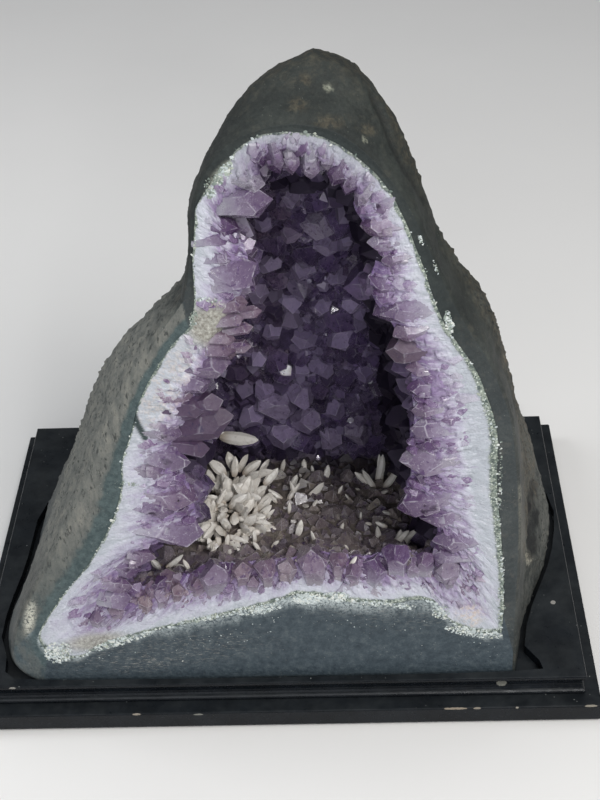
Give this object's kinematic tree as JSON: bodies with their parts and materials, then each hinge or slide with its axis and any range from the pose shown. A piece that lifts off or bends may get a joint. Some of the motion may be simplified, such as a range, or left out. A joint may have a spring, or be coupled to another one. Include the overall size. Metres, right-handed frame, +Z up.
{
  "type": "amethyst cathedral geode",
  "caption": "Tall hollow geode, rock outside and purple quartz inside with pale blade crystals on its floor, standing in a recess in a two-tier wooden plinth.",
  "frame": {"origin": "middle of the plinth's underside, on the surface that it stands on", "axes": "+Z up, -Y toward the sawn open face of the geode, +X to the right seen from the front"},
  "size_m": [0.4828, 0.3324, 0.5024],
  "materials": {
    "basalt": "dark grey-green sealed rock, rough and pebbly on the flanks",
    "amethyst": "clear to milky quartz, violet at the points, glossy crystal faces",
    "calcite": "cream translucent blades, satin",
    "lacquered_wood": "black lacquer, lightly worn, satin",
    "foot_pad": "thin dark pad, matte"
  },
  "bodies": {
    "root": {"basalt_rind": "basalt", "amethyst_lining": "amethyst", "calcite_rosette": "calcite", "calcite_ledge_blades": "calcite", "calcite_back_sprig": "calcite", "calcite_right_spray": "calcite", "calcite_front_trio": "calcite", "calcite_rim_blade": "calcite", "stand_top_board": "lacquered_wood", "stand_base_board": "lacquered_wood", "stand_foot_front_left": "foot_pad", "stand_foot_front_right": "foot_pad", "stand_foot_rear_left": "foot_pad", "stand_foot_rear_right": "foot_pad"}
  },
  "joints": []
}
